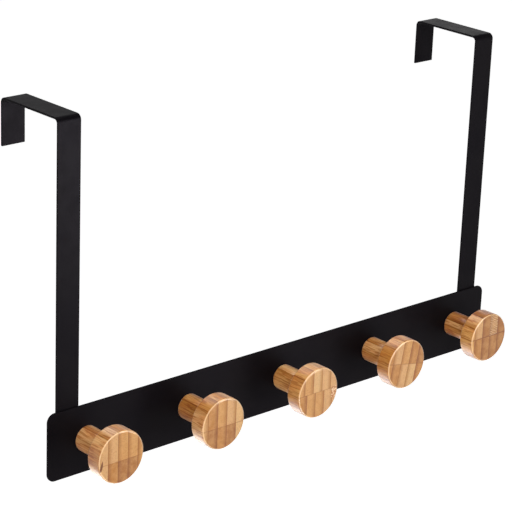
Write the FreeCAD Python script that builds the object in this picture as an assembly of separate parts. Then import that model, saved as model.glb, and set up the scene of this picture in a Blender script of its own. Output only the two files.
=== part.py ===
import FreeCAD, Part
import math
import os

# Over-door rack: a steel rail hung from a door's top edge by two bent steel straps,
# with a row of turned bamboo knobs screwed on from behind the rail.
# Sizes are in millimetres. X runs along the rail, +Y points into the door, +Z is up.
# The origin is on the door's top front edge, midway between the straps.

# Door straps
strap_spacing = 312.0
strap_width = 15.0
strap_thickness = 1.2
strap_inner_bend = 2.0
strap_corner_radius = 0.4
door_gap = 48.0
back_leg_drop = 26.0
strap_foot_margin = 5.0

# Rail
rail_drop = 162.0
rail_height = 40.0
rail_thickness = 1.2
rail_end_margin = 6.5
rail_corner_radius = 5.0

# Broken edge along every cut side of the sheet
sheet_edge_chamfer = 0.2

# Spot welds that hold each strap to the rail, seen as dimples on the strap's back
weld_count = 2
weld_pitch = 16.0
weld_diameter = 5.0
weld_depth = 0.15

# Knobs
knob_count = 5
head_diameter = 30.5
head_thickness = 10.0
stem_diameter = 15.0
stem_length = 21.0
front_rim_chamfer = 0.8
stem_foot_chamfer = 0.5

# Screws
screw_diameter = 3.5
screw_length = 20.0
screw_point_length = 3.5
screw_head_diameter = 8.0
screw_head_rim = 0.35
screw_head_crown_diameter = 5.2
recess_diameter = 4.2
recess_floor_diameter = 1.4
recess_slot_width = 0.8
recess_depth = 1.6

# Clearances
head_to_door_clearance = 0.2
head_to_strap_clearance = 0.5
rail_hole_clearance = 0.25
pilot_clearance = 0.05
pilot_spare_depth = 1.0

# Places that follow from the sizes above
strap_outer_bend = strap_inner_bend + strap_thickness
strap_x = strap_spacing / 2
strap_foot_z = -(rail_drop + rail_height - strap_foot_margin)
rail_length = strap_spacing + strap_width + 2 * rail_end_margin
rail_back_y = -strap_thickness
rail_front_y = rail_back_y - rail_thickness
rail_middle_z = -rail_drop - rail_height / 2
screw_head_height = strap_thickness - head_to_door_clearance
end_knob_x = strap_x - strap_width / 2 - head_to_strap_clearance - screw_head_diameter / 2
knob_pitch = 2 * end_knob_x / (knob_count - 1)
knob_length = stem_length + head_thickness

X_AXIS = FreeCAD.Vector(1, 0, 0)
Y_AXIS = FreeCAD.Vector(0, 1, 0)


def line(start, end):
    return Part.LineSegment(start, end).toShape()


def face_from(edges):
    return Part.Face(Part.Wire(Part.sortEdges(edges)[0]))


def edges_on_plane(solid, axis, offset):
    """The edges of a solid that lie in the plane across one axis (0, 1 or 2)."""
    found = []
    for edge in solid.Edges:
        box = edge.BoundBox
        low = (box.XMin, box.YMin, box.ZMin)[axis]
        high = (box.XMax, box.YMax, box.ZMax)[axis]
        if abs(low - offset) < 1e-4 and abs(high - offset) < 1e-4:
            found.append(edge)
    return found


def quarter_bend(centre_y, side, radius):
    """A strap's bend seen along X: from a leg (side -1 front, +1 back) up to the top."""
    diagonal = radius * math.cos(math.pi / 4)
    leg_end = FreeCAD.Vector(0, centre_y + side * radius, -strap_inner_bend)
    middle = FreeCAD.Vector(0, centre_y + side * diagonal, diagonal - strap_inner_bend)
    top_end = FreeCAD.Vector(0, centre_y, radius - strap_inner_bend)
    return Part.Arc(leg_end, middle, top_end).toShape()


def strap_profile():
    """The bent strip seen along X: long front leg, flat top over the door, short back leg."""
    front_centre = strap_inner_bend
    back_centre = door_gap - strap_inner_bend
    bends = {}
    for name, radius in (("outer", strap_outer_bend), ("inner", strap_inner_bend)):
        front = quarter_bend(front_centre, -1, radius)
        back = quarter_bend(back_centre, 1, radius)
        bends[name] = (front, back)
    edges = []
    for front, back in bends.values():
        foot = FreeCAD.Vector(0, front.Vertexes[0].Y, strap_foot_z)
        tail = FreeCAD.Vector(0, back.Vertexes[0].Y, -back_leg_drop)
        edges.append(line(foot, front.Vertexes[0].Point))
        edges.append(front)
        edges.append(line(front.Vertexes[1].Point, back.Vertexes[1].Point))
        edges.append(back)
        edges.append(line(back.Vertexes[0].Point, tail))
    foot_front = FreeCAD.Vector(0, -strap_thickness, strap_foot_z)
    foot_back = FreeCAD.Vector(0, 0, strap_foot_z)
    tail_front = FreeCAD.Vector(0, door_gap, -back_leg_drop)
    tail_back = FreeCAD.Vector(0, door_gap + strap_thickness, -back_leg_drop)
    edges.append(line(foot_front, foot_back))
    edges.append(line(tail_front, tail_back))
    return face_from(edges)


def leg_end_corners(solid):
    """The four short edges across the sheet at the ends of the two legs."""
    found = []
    for edge in edges_on_plane(solid, 2, strap_foot_z) + edges_on_plane(solid, 2, -back_leg_drop):
        box = edge.BoundBox
        if box.YLength > strap_thickness / 2 and box.XLength < strap_thickness / 2:
            found.append(edge)
    return found


def sheet_rim(solid):
    """The edges where a strap's broad faces meet its cut edges, all the way round."""
    found = []
    for edge in solid.Edges:
        box = edge.BoundBox
        across_sheet = box.YLength > strap_thickness / 2 and box.XLength + box.ZLength < 1e-4
        across_strip = box.XLength > strap_width - strap_corner_radius
        if not across_sheet and not across_strip:
            found.append(edge)
    return found


def make_strap(centre_x):
    strip = strap_profile().extrude(X_AXIS * strap_width)
    strip.translate(X_AXIS * (centre_x - strap_width / 2))
    strip = strip.makeFillet(strap_corner_radius, leg_end_corners(strip))
    strip = strip.makeChamfer(sheet_edge_chamfer, sheet_rim(strip))
    first_weld_z = rail_middle_z - weld_pitch * (weld_count - 1) / 2
    for index in range(weld_count):
        centre = FreeCAD.Vector(centre_x, -weld_depth, first_weld_z + index * weld_pitch)
        dimple = Part.makeCylinder(weld_diameter / 2, strap_thickness, centre, Y_AXIS)
        strip = strip.cut(dimple)
    return strip


def make_rail(knob_places):
    corner = FreeCAD.Vector(-rail_length / 2, rail_front_y, -rail_drop - rail_height)
    rail = Part.makeBox(rail_length, rail_thickness, rail_height, corner)
    corners = [edge for edge in rail.Edges if edge.BoundBox.YLength > rail_thickness / 2]
    rail = rail.makeFillet(rail_corner_radius, corners)
    rim = edges_on_plane(rail, 1, rail_front_y) + edges_on_plane(rail, 1, rail_back_y)
    rail = rail.makeChamfer(sheet_edge_chamfer, rim)
    hole_radius = screw_diameter / 2 + rail_hole_clearance
    for place in knob_places:
        start = FreeCAD.Vector(place, rail_front_y, rail_middle_z)
        rail = rail.cut(Part.makeCylinder(hole_radius, rail_thickness, start, Y_AXIS))
    return rail


def turned(outline, centre_x, seat_y):
    """A turned piece: the outline's (radius, y) points swept round Y, then moved to its place."""
    points = [FreeCAD.Vector(radius, y, 0) for radius, y in outline]
    piece = Part.Face(Part.makePolygon(points + points[:1])).revolve(FreeCAD.Vector(0, 0, 0), Y_AXIS, 360)
    piece.translate(FreeCAD.Vector(centre_x, seat_y, rail_middle_z))
    return piece


def make_knob(centre_x):
    """A knob turned about Y: it stands from the rail's front face towards -Y."""
    stem = stem_diameter / 2
    head = head_diameter / 2
    pilot = screw_diameter / 2 + pilot_clearance
    pilot_floor = -(screw_length - rail_thickness + pilot_spare_depth)
    outline = [
        (0, pilot_floor),
        (pilot, pilot_floor),
        (pilot, 0),
        (stem - stem_foot_chamfer, 0),
        (stem, -stem_foot_chamfer),
        (stem, -stem_length),
        (head, -stem_length),
        (head, -knob_length + front_rim_chamfer),
        (head - front_rim_chamfer, -knob_length),
        (0, -knob_length),
    ]
    return turned(outline, centre_x, rail_front_y)


def make_screw(centre_x):
    """A low-headed wood screw along Y: its head seats on the rail's back, in the strap's depth."""
    shank = screw_diameter / 2
    outline = [
        (0, screw_head_height),
        (screw_head_crown_diameter / 2, screw_head_height),
        (screw_head_diameter / 2, screw_head_rim),
        (screw_head_diameter / 2, 0),
        (shank, 0),
        (shank, screw_point_length - screw_length),
        (0, -screw_length),
    ]
    screw = turned(outline, centre_x, rail_back_y)
    crown = FreeCAD.Vector(centre_x, rail_back_y + screw_head_height, rail_middle_z)
    slot_corner = crown - FreeCAD.Vector(recess_diameter, 2 * recess_depth, recess_slot_width) / 2
    slot = Part.makeBox(recess_diameter, 2 * recess_depth, recess_slot_width, slot_corner)
    cross = slot.copy()
    cross.rotate(crown, Y_AXIS, 90)
    taper = Part.makeCone(recess_diameter / 2, recess_floor_diameter / 2, recess_depth, crown, -Y_AXIS)
    return screw.cut(slot.fuse(cross).common(taper))


def main():
    os.makedirs("parts", exist_ok=True)
    knob_places = [index * knob_pitch - end_knob_x for index in range(knob_count)]
    nodes = {
        "left_door_strap": make_strap(-strap_x),
        "right_door_strap": make_strap(strap_x),
        "back_plate": make_rail(knob_places),
    }
    for number, place in enumerate(knob_places, start=1):
        nodes[f"knob_{number}"] = make_knob(place)
    nodes["knob_screws"] = Part.makeCompound([make_screw(place) for place in knob_places])
    for name, shape in nodes.items():
        shape.exportStep(f"parts/{name}.step")


main()
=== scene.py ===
"""The looks of the over-door hook rail: black powder-coated steel, knobs turned from laminated
bamboo and zinc-plated screws, hung at door height over a pale studio floor.
The part's own frame holds: X along the rail, +Y into the door, +Z up, in metres."""

import math
from collections import namedtuple

import bmesh
import bpy
from mathutils import Matrix, Vector


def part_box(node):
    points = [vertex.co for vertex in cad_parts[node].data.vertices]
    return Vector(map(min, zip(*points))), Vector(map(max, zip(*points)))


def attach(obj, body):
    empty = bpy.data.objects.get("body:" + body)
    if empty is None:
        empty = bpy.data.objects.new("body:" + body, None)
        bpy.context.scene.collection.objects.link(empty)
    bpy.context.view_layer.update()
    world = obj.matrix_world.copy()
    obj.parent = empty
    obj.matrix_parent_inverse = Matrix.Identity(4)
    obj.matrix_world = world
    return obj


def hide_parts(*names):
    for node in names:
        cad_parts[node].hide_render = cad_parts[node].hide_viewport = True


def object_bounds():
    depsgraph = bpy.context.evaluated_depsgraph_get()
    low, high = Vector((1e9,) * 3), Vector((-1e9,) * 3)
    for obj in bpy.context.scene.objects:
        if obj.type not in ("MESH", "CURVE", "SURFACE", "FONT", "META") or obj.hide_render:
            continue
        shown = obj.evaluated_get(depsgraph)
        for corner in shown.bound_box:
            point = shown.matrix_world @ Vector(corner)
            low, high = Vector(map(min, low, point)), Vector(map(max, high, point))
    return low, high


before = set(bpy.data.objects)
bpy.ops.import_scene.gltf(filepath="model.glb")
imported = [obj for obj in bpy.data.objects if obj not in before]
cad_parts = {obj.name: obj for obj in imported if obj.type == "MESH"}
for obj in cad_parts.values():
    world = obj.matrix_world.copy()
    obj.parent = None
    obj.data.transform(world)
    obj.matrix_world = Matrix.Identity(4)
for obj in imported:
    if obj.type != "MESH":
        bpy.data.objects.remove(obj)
cad_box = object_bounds()


def srgb(red, green, blue):
    """A colour as it looks on screen, 0 to 255, as the linear colour that shaders take."""
    def linear(value):
        share = value / 255
        return share / 12.92 if share <= 0.04045 else ((share + 0.055) / 1.055) ** 2.4
    return (linear(red), linear(green), linear(blue), 1.0)


MM = 0.001
STEEL_NODES = ("left_door_strap", "right_door_strap", "back_plate")

# Turned knob, in millimetres: y is 0 at the seat on the plate and negative towards the front.
# The flat border is a narrow ring beside each rounding, which keeps the flats' shading even.
STEM_RADIUS = 7.5
STEM_LENGTH = 21.0
STEM_FOOT_ROUND = 0.5
HEAD_BACK_ROUND = 0.5
HEAD_FRONT_ROUND = 1.2
PILOT_RADIUS = 1.8
PILOT_DEPTH = 19.8
FLAT_BORDER = 0.3
LATHE_SEGMENTS = 144
ROUND_STEPS = 6
SHARP_ANGLE = math.radians(40)

# Smooth steps: their usual results, and the usual spans of a value that they take in
RISE = (0.0, 1.0)
FALL = (1.0, 0.0)
WHOLE_SPAN = (0.0, 1.0)
MIDDLE_SPAN = (0.35, 0.65)
WIDE_SPAN = (0.3, 0.7)

# Powder coat. Here and below, scales are per millimetre, and depths and lengths in millimetres.
COAT_BLACKS = (srgb(11, 9, 12), srgb(15, 13, 15))
COAT_CLOUD_SCALE = 0.035
COAT_ROUGHNESS = (0.38, 0.45)
COAT_ROUGHNESS_SCALE = 0.12
COAT_SPECULAR_LEVEL = 0.035
COAT_SPECULAR_TINT = (0.92, 0.82, 1.0, 1.0)
PEEL_SCALE = 2.2
PEEL_DEPTH = 0.012

# Zinc plating
ZINC_GREYS = (srgb(196, 198, 199), srgb(224, 223, 216))
ZINC_ROUGHNESS = (0.24, 0.4)
ZINC_ROUGHNESS_SCALE = 3.0
SPANGLE_SCALE = 0.9
GRIT_SCALE = 6.0
GRIT_DEPTH = 0.006

# Bamboo strips: each is browner along the edge where its stalk's skin was. A fade says how far
# from that edge, a glue line or the seam a shade is still full, and how far off it is gone. A
# row's first tone is that of the strip left of its first line, and is read in its step's middle.
STRIP_WIDTH = 6.7
FIRST_TONE_STEP = 1.5
SKIN_FADE = (0.28, 1.12)
BROWNER_FADE = (0.42, 3.2)
BROWNER_SHADE = 0.7
SEAM_FADE = (0.08, 0.64)
SEAM_LINE_FADE = (0.064, 0.16)
GLUE_LINE_FADE = (0.08, 0.192)

# Bamboo fibres, which run along the knob's axis, and the slow drifts of tone
LINE_WIDTH = 0.85
LINE_SPAN = (0.53, 0.61)
FIBRE_WIDTH = 0.32
FIBRE_LENGTH = 10.5
FIBRE_SPAN = (0.46, 0.6)
FIBRE_SHADE = 0.6
DRIFT_SCALES = (0.25, 0.03, 0.25)
DRIFT_SHADE = 0.3
WARMTH_SCALES = (0.3, 0.06, 0.3)
WARMTH_FINENESS = 1.3
WARMTH_SPAN = (0.42, 0.62)
GRAIN_STEP = (61.0, 17.0, 43.0)

# How squarely a point faces the front: the end grain, and the band of the rounded rim that leads to
# it, where a highlight is painted
END_GRAIN_SPAN = (0.35, 0.85)
RIM_START_SPAN = (0.48, 0.7)
RIM_END_SPAN = (0.8, 0.985)

# Bamboo colours. The shades multiply the tone, and two shares are for the side and the front.
DRIFT_PALE = srgb(230, 178, 112)
BROWN_SHADE = (0.6, 0.42, 0.13, 1.0)
RED_SHADE = (0.94, 0.76, 0.62, 1.0)
RED_SHARES = (0.8, 0.15)
STREAK_SHADE = (0.58, 0.38, 0.22, 1.0)
STREAK_SHARES = (0.85, 0.3)
GLUE_SHADE = (0.62, 0.42, 0.2, 1.0)
GLUE_SHARE = 0.8
# The rim's pale colour and its share are a painted highlight on the rounded front rim
RIM_HIGHLIGHT_PALE = srgb(255, 220, 172)
RIM_HIGHLIGHT_SHARE = 0.58

# Bamboo surface, with a thin clear varnish
WOOD_ROUGHNESS = (0.42, 0.54)
WOOD_SPECULAR_LEVEL = 0.1
VARNISH_WEIGHT = 0.68
VARNISH_ROUGHNESS = 0.24
SHEEN_WEIGHT = 0.4
SHEEN_ROUGHNESS = 0.4
GLUE_RELIEF = 0.4
RELIEF_DEPTH = 0.02

# The split in the first knob's front
SPLIT_X = -13.5
SPLIT_Z = -2.2
SPLIT_HALF_LENGTH = 3.7
SPLIT_HALF_WIDTH = 0.8
SPLIT_LEAN = 0.8
SPLIT_SPAN = (-0.1, 0.2)
SPLIT_BROWN = srgb(116, 60, 8)

# The scuffed rim of the third knob, and near-white dots on the painted rim highlight at its lower
# left
SCUFF_Z = -2.4
SCUFF_X_SPAN = (9.6, 11.0)
SCUFF_Z_FADE = (2.8, 4.8)
SCUFF_SCALES = (0.75, 0.75, 1.1)
SCRATCH_SPAN = (0.51, 0.57)
SCRATCH_SHADES = (0.0, 0.85)
SCRATCH_PALE = srgb(254, 220, 180)
BRUISE_SPAN = (0.43, 0.5)
BRUISE_SHADES = (0.75, 0.0)
BRUISE_BROWN = srgb(184, 104, 48)
RIM_DOT_X_FADE = (-11.5, -9.5)
RIM_DOT_Z_FADE = (-1.0, 2.0)
RIM_DOT_SCALE = 1.1
RIM_DOT_SPAN = (0.53, 0.6)
RIM_DOT_PALE = srgb(255, 244, 226)

# The saw marks on one strip of the fifth knob's front
SAW_LEFT = 0.6
SAW_RIGHT = 7.3
SAW_BOTTOM = 1.2
SAW_PITCH = 1.05
SAW_WANDER = 1.6
SAW_WANDER_SCALE = 0.35
SAW_SPAN = (0.1, 0.9)
SAW_SHADES = (0.0, 0.75)
SAW_PALE = srgb(240, 206, 160)

# Camera: where it looks, from where and how far, with a long lens
CAMERA_AIM = Vector((-22.45, 0.0, -103.19)) * MM
CAMERA_DISTANCE = 1.229
CAMERA_AZIMUTH = math.radians(42.317)
CAMERA_ELEVATION = math.radians(19.644)
CAMERA_ROLL = math.radians(2.22)
CAMERA_LENS = 152.34
CAMERA_REACH = 100.0

# Studio, in metres: the surroundings fade from the first level to the second in the span of heights
DOOR_HEIGHT = 2.0
FLOOR_RADIUS = 18.0
FLOOR_SEGMENTS = 96
FLOOR_GREY = srgb(236, 236, 236)
FLOOR_GLOW = 0.88
SURROUNDINGS_WHITE = (1.0, 1.0, 1.0, 1.0)
SURROUNDINGS_SPAN = (0.08, 0.28)
SURROUNDINGS_LEVELS = (1.0, 0.12)

# Soft boxes: where each stands, its width and height in metres, and its power in watts. They face
# the part's middle. A card faces the left strap, lights nothing and only shows in gloss.
Lamp = namedtuple("Lamp", "place size power card", defaults=(False,))
LAMPS = {
    "key_box": Lamp((-0.7, -1.7, 1.1), (0.9, 0.9), 24.0),
    "strap_card": Lamp((0.18, -0.38, -0.06), (0.18, 0.42), 2.7, card=True),
    "right_fill_box": Lamp((0.3, -0.45, -0.05), (0.15, 0.15), 0.25),
    "top_box": Lamp((0.1, -0.1, 1.9), (1.0, 1.0), 20.0),
    "high_back_box": Lamp((0.2, 0.85, 0.88), (0.8, 0.8), 5.0),
    "low_back_box": Lamp((0.08, 1.0, -1.25), (1.0, 1.0), 8.2),
    "left_box": Lamp((-1.7, -0.75, -0.6), (1.2, 1.2), 11.0),
    "low_box": Lamp((-0.5, -0.25, -1.5), (1.0, 1.0), 9.0),
    "right_back_box": Lamp((0.9, 0.75, 0.38), (0.4, 0.4), 0.55),
}
CARD_AIM_HEIGHT = -0.04

# Tones of bamboo
PALE = srgb(221, 175, 116)
STRAW = srgb(215, 164, 107)
HONEY = srgb(207, 149, 79)
TAN = srgb(187, 123, 48)
BROWN = srgb(172, 110, 43)

# A knob's blank as its front face shows it: how far it is turned, where the level glue seam and
# the leftmost upright glue line lie, how far the lower row is shifted, which edge of the strips
# is browner (0 left, 1 right), how dark the seam is, and the strips' tones in each row from left
# to right, beginning with the strip left of that line. Lengths are from the knob's axis.
Blank = namedtuple("Blank", "turn seam first_line lower_shift skin_side seam_depth upper lower")
BLANKS = {
    "knob_1": Blank(0, -1.9, -9.1, 0.0, 0, 0.15,
                    (STRAW, STRAW, HONEY, HONEY, HONEY, TAN),
                    (STRAW, TAN, BROWN, BROWN, HONEY, HONEY)),
    "knob_2": Blank(0, -1.5, -11.3, 0.0, 1, 0.3,
                    (STRAW, TAN, HONEY, STRAW, PALE, STRAW),
                    (STRAW, BROWN, TAN, BROWN, PALE, HONEY)),
    "knob_3": Blank(0, 0.7, -10.8, 1.8, 1, 0.2,
                    (HONEY, HONEY, PALE, STRAW, STRAW, HONEY),
                    (TAN, HONEY, HONEY, STRAW, STRAW, TAN)),
    "knob_4": Blank(-11, 0.3, -11.9, 0.0, 0, 0.3,
                    (TAN, STRAW, HONEY, TAN, BROWN, BROWN),
                    (TAN, TAN, STRAW, PALE, TAN, TAN)),
    "knob_5": Blank(0, 1.15, -12.8, 0.0, 0, 0.9,
                    (HONEY, STRAW, BROWN, BROWN, BROWN, TAN),
                    (HONEY, TAN, BROWN, BROWN, BROWN, TAN)),
}


class Graph:
    """The node tree of one material or world, with a short call for each kind of step."""

    def __init__(self, owner):
        owner.use_nodes = True
        self.tree = owner.node_tree
        self.tree.nodes.clear()

    def add(self, kind, inputs, **settings):
        """A new node. An input that is a socket is linked, any other is set as a value."""
        made = self.tree.nodes.new(kind)
        for name, value in settings.items():
            setattr(made, name, value)
        for key, value in inputs.items():
            if isinstance(value, bpy.types.NodeSocket):
                self.tree.links.new(value, made.inputs[key])
            else:
                made.inputs[key].default_value = value
        return made

    def calc(self, operation, *values):
        return self.add("ShaderNodeMath", dict(enumerate(values)), operation=operation).outputs[0]

    def difference(self, first, second):
        return self.calc("SUBTRACT", first, second)

    def distance(self, first, second):
        return self.calc("ABSOLUTE", self.difference(first, second))

    def product(self, first, *others):
        for other in others:
            first = self.calc("MULTIPLY", first, other)
        return first

    def highest(self, first, *others):
        for other in others:
            first = self.calc("MAXIMUM", first, other)
        return first

    def vector(self, operation, *values):
        made = self.add("ShaderNodeVectorMath", dict(enumerate(values)), operation=operation)
        return made.outputs[0]

    def axes(self, vector):
        """A vector's X, Y and Z."""
        return self.add("ShaderNodeSeparateXYZ", {0: vector}).outputs

    def coordinates(self, kind):
        return self.add("ShaderNodeTexCoord", {}).outputs[kind]

    def millimetres(self):
        """The point that is shaded, in the piece's own frame and in millimetres."""
        inputs = {"Vector": self.coordinates("Object"), "Scale": 1 / MM}
        return self.add("ShaderNodeVectorMath", inputs, operation="SCALE").outputs[0]

    def ease(self, value, span, results=RISE):
        """A smooth step from the first result to the second as the value goes through the span."""
        names = ("From Min", "From Max", "To Min", "To Max")
        inputs = {"Value": value, **dict(zip(names, (*span, *results)))}
        return self.add("ShaderNodeMapRange", inputs, interpolation_type="SMOOTHSTEP").outputs[0]

    def noise(self, vector, scale=1.0, detail=2.0, roughness=0.5):
        inputs = {"Vector": vector, "Scale": scale, "Detail": detail, "Roughness": roughness}
        return self.add("ShaderNodeTexNoise", inputs).outputs[0]

    def mix(self, factor, first, second, blend="MIX"):
        inputs = {0: factor, 6: first, 7: second}
        return self.add("ShaderNodeMix", inputs, data_type="RGBA", blend_type=blend).outputs[2]

    def steps(self, factor, colours):
        """One flat colour after another as the factor goes from 0 to 1."""
        node = self.add("ShaderNodeValToRGB", {0: factor})
        ramp = node.color_ramp
        ramp.interpolation = "CONSTANT"
        while len(ramp.elements) < len(colours):
            ramp.elements.new(1.0)
        for index, colour in enumerate(colours):
            ramp.elements[index].position = index / len(colours)
            ramp.elements[index].color = colour
        return node.outputs[0]

    def bump(self, height, depth):
        """A surface relief: the height runs from 0 to 1 over the depth in millimetres."""
        inputs = {"Height": height, "Distance": depth * MM, "Strength": 1.0}
        return self.add("ShaderNodeBump", inputs).outputs[0]

    def surface(self, shader):
        self.add("ShaderNodeOutputMaterial", {"Surface": shader})


def new_material(name):
    material = bpy.data.materials.new(name)
    return material, Graph(material)


def powder_coat():
    """Satin black powder coat: a fine orange peel, with gloss that varies a little."""
    material, graph = new_material("black_powder_coat_look")
    place = graph.millimetres()
    peel = graph.noise(place, PEEL_SCALE, detail=3.0, roughness=0.6)
    cloud = graph.noise(place, COAT_CLOUD_SCALE)
    dullness = graph.noise(place, COAT_ROUGHNESS_SCALE, detail=3.0)
    shader = graph.add("ShaderNodeBsdfPrincipled", {
        "Base Color": graph.mix(graph.ease(cloud, MIDDLE_SPAN), *COAT_BLACKS),
        "Roughness": graph.ease(dullness, WIDE_SPAN, COAT_ROUGHNESS),
        "Specular IOR Level": COAT_SPECULAR_LEVEL,
        "Specular Tint": COAT_SPECULAR_TINT,
        "Normal": graph.bump(peel, PEEL_DEPTH),
    })
    graph.surface(shader.outputs[0])
    return material


def zinc():
    """Bright zinc plating: pale metal with a faint spangle and a fine grit."""
    material, graph = new_material("zinc_plated_steel_look")
    place = graph.millimetres()
    spangle = graph.noise(place, SPANGLE_SCALE, detail=3.0)
    dullness = graph.noise(place, ZINC_ROUGHNESS_SCALE)
    shader = graph.add("ShaderNodeBsdfPrincipled", {
        "Base Color": graph.mix(graph.ease(spangle, MIDDLE_SPAN), *ZINC_GREYS),
        "Metallic": 1.0,
        "Roughness": graph.ease(dullness, WIDE_SPAN, ZINC_ROUGHNESS),
        "Normal": graph.bump(graph.noise(place, GRIT_SCALE), GRIT_DEPTH),
    })
    graph.surface(shader.outputs[0])
    return material


def strip_tone(graph, across, upper, blank):
    """The tone of a point's strip, by how many strips it lies right of the first line."""
    index = graph.calc("ADD", graph.calc("FLOOR", across), FIRST_TONE_STEP)
    share = graph.calc("DIVIDE", index, len(blank.upper))
    return graph.mix(upper, graph.steps(share, blank.lower), graph.steps(share, blank.upper))


def strip_pattern(graph, place, blank):
    """A point's tone, how brown it is near its strip's skin edge and the seam, and its glue."""
    x, _, z = graph.axes(place)
    above_seam = graph.difference(z, blank.seam)
    upper = graph.calc("GREATER_THAN", above_seam, 0.0)
    shift = graph.product(graph.difference(1.0, upper), blank.lower_shift)
    from_first = graph.difference(graph.difference(x, blank.first_line), shift)
    across = graph.calc("DIVIDE", from_first, STRIP_WIDTH)
    from_left = graph.product(graph.calc("FRACT", across), STRIP_WIDTH)
    from_skin = graph.distance(blank.skin_side * STRIP_WIDTH, from_left)
    from_line = graph.product(graph.calc("PINGPONG", across, 0.5), STRIP_WIDTH)
    from_seam = graph.calc("ABSOLUTE", above_seam)
    brown = graph.highest(
        graph.ease(from_skin, SKIN_FADE, FALL),
        graph.ease(from_skin, BROWNER_FADE, (BROWNER_SHADE, 0.0)),
        graph.ease(from_seam, SEAM_FADE, (blank.seam_depth, 0.0)),
    )
    glue = graph.highest(
        graph.ease(from_line, GLUE_LINE_FADE, FALL),
        graph.ease(from_seam, SEAM_LINE_FADE, FALL),
    )
    return strip_tone(graph, across, upper, blank), brown, glue


def fibre_pattern(graph, place):
    """Streaks along the knob's axis, the fine fibres alone, and two slow drifts of tone."""
    line_scales = (1 / LINE_WIDTH, 1 / FIBRE_LENGTH, 1 / LINE_WIDTH)
    fibre_scales = (1 / FIBRE_WIDTH, 1 / FIBRE_LENGTH, 1 / FIBRE_WIDTH)
    lines = graph.noise(graph.vector("MULTIPLY", place, line_scales))
    fine = graph.noise(graph.vector("MULTIPLY", place, fibre_scales), detail=3.0, roughness=0.6)
    drift = graph.noise(graph.vector("MULTIPLY", place, DRIFT_SCALES))
    warmth = graph.noise(graph.vector("MULTIPLY", place, WARMTH_SCALES), WARMTH_FINENESS)
    fine_streaks = graph.ease(fine, FIBRE_SPAN, (0.0, FIBRE_SHADE))
    streaks = graph.highest(graph.ease(lines, LINE_SPAN), fine_streaks)
    return streaks, fine, drift, warmth


def front_and_rim(graph):
    """How far a point belongs to the end grain, and how far to the band of the rounded rims beside
    it where a highlight is painted.
    """
    facing = graph.calc("ABSOLUTE", graph.axes(graph.coordinates("Normal"))["Y"])
    rim_start = graph.ease(facing, RIM_START_SPAN)
    rim_highlight_mask = graph.product(rim_start, graph.ease(facing, RIM_END_SPAN, FALL))
    return graph.ease(facing, END_GRAIN_SPAN), rim_highlight_mask


def split_mark(graph, place):
    """A short dark split in the front, which leans a little and tapers to both ends."""
    x, _, z = graph.axes(place)
    along = graph.calc("DIVIDE", graph.difference(z, SPLIT_Z), SPLIT_HALF_LENGTH)
    lean = graph.product(along, SPLIT_LEAN)
    off_axis = graph.distance(graph.difference(x, SPLIT_X), lean)
    taper = graph.difference(1.0, graph.product(along, along))
    inside = graph.difference(graph.product(taper, SPLIT_HALF_WIDTH), off_axis)
    return graph.ease(inside, SPLIT_SPAN)


def scuff_marks(graph, place):
    """Where the right rim was rubbed: pale scratches, and bruised grain between them."""
    x, _, z = graph.axes(place)
    near_height = graph.ease(graph.distance(z, SCUFF_Z), SCUFF_Z_FADE, FALL)
    near = graph.product(graph.ease(x, SCUFF_X_SPAN), near_height)
    grain = graph.noise(graph.vector("MULTIPLY", place, SCUFF_SCALES), roughness=0.6)
    scratches = graph.product(near, graph.ease(grain, SCRATCH_SPAN, SCRATCH_SHADES))
    bruises = graph.product(near, graph.ease(grain, BRUISE_SPAN, BRUISE_SHADES))
    return scratches, bruises


def pale_rim_dots(graph, place, rim_highlight_mask):
    """Near-white dots in a broken row along the lower left of the front rim, on its painted
    highlight.
    """
    x, _, z = graph.axes(place)
    low_left = graph.product(graph.ease(x, RIM_DOT_X_FADE, FALL), graph.ease(z, RIM_DOT_Z_FADE, FALL))
    rim_dots = graph.ease(graph.noise(place, RIM_DOT_SCALE, detail=1.0), RIM_DOT_SPAN)
    return graph.product(low_left, rim_dots, rim_highlight_mask)


def saw_marks(graph, place):
    """Fine level saw marks across one strip of the front."""
    x, _, z = graph.axes(place)
    wander = graph.product(graph.noise(place, SAW_WANDER_SCALE), SAW_WANDER)
    height = graph.calc("ADD", z, wander)
    wave = graph.calc("SINE", graph.product(height, 2 * math.pi / SAW_PITCH))
    right_of = graph.calc("GREATER_THAN", x, SAW_LEFT)
    left_of = graph.calc("LESS_THAN", x, SAW_RIGHT)
    above = graph.calc("GREATER_THAN", z, SAW_BOTTOM)
    return graph.product(right_of, left_of, above, graph.ease(wave, SAW_SPAN, SAW_SHADES))


def add_marks(graph, place, front, rim_highlight_mask, name, colour):
    """The marks that single knobs bear on their fronts and rims."""
    if name == "knob_1":
        split = graph.product(split_mark(graph, place), front)
        colour = graph.mix(split, colour, SPLIT_BROWN)
    if name == "knob_3":
        scratches, bruises = scuff_marks(graph, place)
        colour = graph.mix(bruises, colour, BRUISE_BROWN)
        colour = graph.mix(scratches, colour, SCRATCH_PALE)
        # Near-white dots on the painted rim highlight
        colour = graph.mix(pale_rim_dots(graph, place, rim_highlight_mask), colour, RIM_DOT_PALE)
    if name == "knob_5":
        marks = graph.product(saw_marks(graph, place), front)
        colour = graph.mix(marks, colour, SAW_PALE)
    return colour


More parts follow.
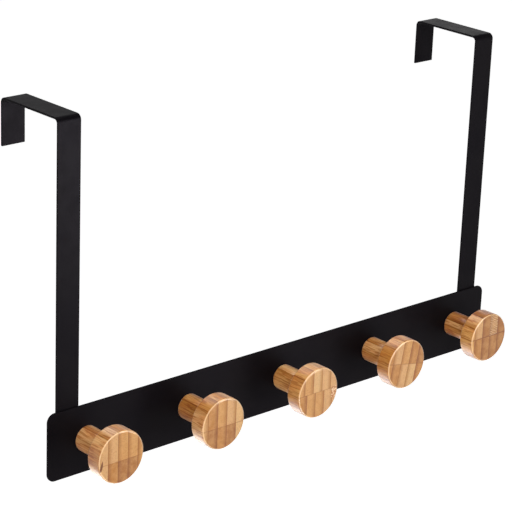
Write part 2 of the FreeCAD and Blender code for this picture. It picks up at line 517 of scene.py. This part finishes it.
def bamboo_colour(graph, strips, fibres, end_grain, rim_highlight_mask):
    """The strips' tones, shaded by their skin edges, warmth, streaks and glue, with a highlight
    painted on the rim.
    """
    tone, brown, glue = strips
    streaks, _, drift, warmth = fibres
    red_share = graph.ease(end_grain, WHOLE_SPAN, RED_SHARES)
    redder = graph.product(graph.ease(warmth, WARMTH_SPAN), red_share)
    darker = graph.product(streaks, graph.ease(end_grain, WHOLE_SPAN, STREAK_SHARES))
    glued = graph.product(glue, GLUE_SHARE)
    shades = ((brown, BROWN_SHADE), (redder, RED_SHADE), (darker, STREAK_SHADE), (glued, GLUE_SHADE))
    colour = graph.mix(graph.ease(drift, WIDE_SPAN, (0.0, DRIFT_SHADE)), tone, DRIFT_PALE)
    for share, shade in shades:
        colour = graph.mix(share, colour, shade, blend="MULTIPLY")
    # The pale rim is a painted highlight
    return graph.mix(graph.product(rim_highlight_mask, RIM_HIGHLIGHT_SHARE), colour, RIM_HIGHLIGHT_PALE)


def bamboo(name, blank, number):
    """Laminated bamboo: strips glued side by side, with fibres that run along the knob's axis."""
    material, graph = new_material(f"bamboo_{name}")
    place = graph.millimetres()
    turn = {"Vector": place, "Angle": math.radians(blank.turn)}
    upright = graph.add("ShaderNodeVectorRotate", turn, rotation_type="Y_AXIS").outputs[0]
    own_place = graph.vector("ADD", upright, tuple(step * number for step in GRAIN_STEP))
    strips = strip_pattern(graph, upright, blank)
    fibres = fibre_pattern(graph, own_place)
    end_grain, rim_highlight_mask = front_and_rim(graph)
    colour = bamboo_colour(graph, strips, fibres, end_grain, rim_highlight_mask)
    streaks, fine = fibres[:2]
    glue = strips[2]
    relief = graph.difference(graph.difference(1.0, streaks), graph.product(glue, GLUE_RELIEF))
    shader = graph.add("ShaderNodeBsdfPrincipled", {
        "Base Color": add_marks(graph, place, end_grain, rim_highlight_mask, name, colour),
        "Roughness": graph.ease(fine, WIDE_SPAN, WOOD_ROUGHNESS),
        "Specular IOR Level": WOOD_SPECULAR_LEVEL,
        "Coat Weight": VARNISH_WEIGHT,
        "Coat Roughness": VARNISH_ROUGHNESS,
        "Sheen Weight": SHEEN_WEIGHT,
        "Sheen Roughness": SHEEN_ROUGHNESS,
        "Normal": graph.bump(relief, RELIEF_DEPTH),
    })
    graph.surface(shader.outputs[0])
    return material


def dress(node, material):
    """Gives a carried-over node its finish in every slot."""
    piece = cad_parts[node]
    if not piece.data.materials:
        piece.data.materials.append(material)
    for index in range(len(piece.data.materials)):
        piece.data.materials[index] = material


def rounded(centre, radius, start, end):
    """Points of an arc in the (radius, y) plane, from one angle to another in degrees."""
    points = []
    for step in range(ROUND_STEPS + 1):
        angle = math.radians(start + (end - start) * step / ROUND_STEPS)
        points.append((centre[0] + radius * math.cos(angle), centre[1] + radius * math.sin(angle)))
    return points


def knob_outline(head_radius, knob_length):
    """Half the knob's section from the pilot hole's floor round to the front, in (radius, y)."""
    foot, back, front = STEM_FOOT_ROUND, HEAD_BACK_ROUND, HEAD_FRONT_ROUND
    outline = [(0.0, -PILOT_DEPTH), (PILOT_RADIUS, -PILOT_DEPTH), (PILOT_RADIUS, 0.0)]
    outline.append((STEM_RADIUS - foot - FLAT_BORDER, 0.0))
    outline += rounded((STEM_RADIUS - foot, -foot), foot, 90, 0)
    outline.append((STEM_RADIUS, -foot - FLAT_BORDER))
    outline.append((STEM_RADIUS, -STEM_LENGTH))
    outline.append((head_radius - back - FLAT_BORDER, -STEM_LENGTH))
    outline += rounded((head_radius - back, -STEM_LENGTH - back), back, 90, 0)
    outline.append((head_radius, -STEM_LENGTH - back - FLAT_BORDER))
    outline.append((head_radius, -knob_length + front + FLAT_BORDER))
    outline += rounded((head_radius - front, -knob_length + front), front, 0, -90)
    outline.append((head_radius - front - FLAT_BORDER, -knob_length))
    outline.append((0.0, -knob_length))
    return outline


def lathe_ring(work, radius, y):
    """The vertices of a circle round the Y axis, or one on the axis as many times over."""
    if radius == 0.0:
        return [work.verts.new((0.0, y * MM, 0.0))] * LATHE_SEGMENTS
    ring = []
    for step in range(LATHE_SEGMENTS):
        angle = 2 * math.pi * step / LATHE_SEGMENTS
        x = radius * MM * math.cos(angle)
        z = radius * MM * math.sin(angle)
        ring.append(work.verts.new((x, y * MM, z)))
    return ring


def add_piece(name, work):
    """A new object in the scene, from a bmesh that is done."""
    mesh = bpy.data.meshes.new(name)
    work.to_mesh(mesh)
    work.free()
    piece = bpy.data.objects.new(name, mesh)
    bpy.context.scene.collection.objects.link(piece)
    return piece


def lathe(name, outline):
    """A closed piece swept round the Y axis from (radius, y) points in millimetres."""
    work = bmesh.new()
    rings = [lathe_ring(work, radius, y) for radius, y in outline]
    for first, second in zip(rings, rings[1:]):
        for step in range(LATHE_SEGMENTS):
            after = (step + 1) % LATHE_SEGMENTS
            corners = (first[step], first[after], second[after], second[step])
            work.faces.new(dict.fromkeys(corners))
    bmesh.ops.recalc_face_normals(work, faces=work.faces)
    for face in work.faces:
        face.smooth = True
    for edge in work.edges:
        edge.smooth = edge.calc_face_angle(0.0) < SHARP_ANGLE
    return add_piece(name, work)


def turned_knob(node, number):
    """A knob with rounded rims in place of its chamfered node, seated on the plate's front."""
    low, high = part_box(node)
    head_radius = (high.x - low.x) / 2 / MM
    knob_length = (high.y - low.y) / MM
    knob = lathe(f"turned_{node}", knob_outline(head_radius, knob_length))
    knob.location = ((low.x + high.x) / 2, high.y, (low.z + high.z) / 2)
    knob.data.materials.append(bamboo(node, BLANKS[node], number))
    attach(knob, "root")
    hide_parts(node)


def white_when_seen(graph, shader, glow):
    """Adds a glow that cameras and reflections see, but that lights nothing."""
    path = graph.add("ShaderNodeLightPath", {}).outputs
    seen = graph.highest(path["Is Camera Ray"], path["Is Glossy Ray"], path["Is Transmission Ray"])
    light = graph.add("ShaderNodeEmission", {"Strength": graph.product(seen, glow)})
    return graph.add("ShaderNodeAddShader", {0: shader, 1: light.outputs[0]}).outputs[0]


def add_floor():
    """A pale floor, a door's height below the top edge that the rail hangs from."""
    work = bmesh.new()
    bmesh.ops.create_circle(work, cap_ends=True, segments=FLOOR_SEGMENTS, radius=FLOOR_RADIUS)
    floor = add_piece("studio_floor", work)
    floor.location = (0.0, 0.0, -DOOR_HEIGHT)
    material, graph = new_material("studio_floor_paint")
    paint = graph.add("ShaderNodeBsdfDiffuse", {"Color": FLOOR_GREY})
    graph.surface(white_when_seen(graph, paint.outputs[0], FLOOR_GLOW))
    floor.data.materials.append(material)


def add_world():
    """Studio surroundings: white up to a little above the level of the eye, and grey overhead."""
    world = bpy.data.worlds.new("studio_surroundings")
    bpy.context.scene.world = world
    graph = Graph(world)
    height = graph.axes(graph.coordinates("Generated"))["Z"]
    level = graph.ease(height, SURROUNDINGS_SPAN, SURROUNDINGS_LEVELS)
    light = graph.add("ShaderNodeBackground", {"Color": SURROUNDINGS_WHITE, "Strength": level})
    graph.add("ShaderNodeOutputWorld", {"Surface": light.outputs[0]})


def add_lamp(name, lamp, aim):
    """A soft box that isn't itself seen, turned to face its aim."""
    light = bpy.data.lights.new(name, "AREA")
    light.shape = "RECTANGLE"
    light.size, light.size_y = lamp.size
    light.energy = lamp.power
    holder = bpy.data.objects.new(name, light)
    holder.location = lamp.place
    holder.rotation_euler = (aim - Vector(lamp.place)).to_track_quat("-Z", "Y").to_euler()
    holder.visible_camera = False
    holder.visible_diffuse = not lamp.card
    bpy.context.scene.collection.objects.link(holder)


def add_lamps():
    middle = (cad_box[0] + cad_box[1]) / 2
    low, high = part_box("left_door_strap")
    strap_front = Vector(((low.x + high.x) / 2, 0.0, CARD_AIM_HEIGHT))
    for name, lamp in LAMPS.items():
        add_lamp(name, lamp, strap_front if lamp.card else middle)


def add_camera():
    camera = bpy.data.objects.new("camera", bpy.data.cameras.new("camera"))
    bpy.context.scene.collection.objects.link(camera)
    bpy.context.scene.camera = camera
    camera.data.lens = CAMERA_LENS
    camera.data.clip_end = CAMERA_REACH
    level = math.cos(CAMERA_ELEVATION)
    look = Vector((math.sin(CAMERA_AZIMUTH) * level, math.cos(CAMERA_AZIMUTH) * level,
                   -math.sin(CAMERA_ELEVATION)))
    turn = look.to_track_quat("-Z", "Y").to_matrix().to_4x4() @ Matrix.Rotation(CAMERA_ROLL, 4, "Z")
    camera.matrix_world = Matrix.Translation(CAMERA_AIM - look * CAMERA_DISTANCE) @ turn


def main():
    bpy.context.scene.view_settings.view_transform = "Standard"
    coat = powder_coat()
    for node in STEEL_NODES:
        dress(node, coat)
    dress("knob_screws", zinc())
    for number, node in enumerate(BLANKS, start=1):
        turned_knob(node, number)
    add_floor()
    add_world()
    add_lamps()
    add_camera()


main()
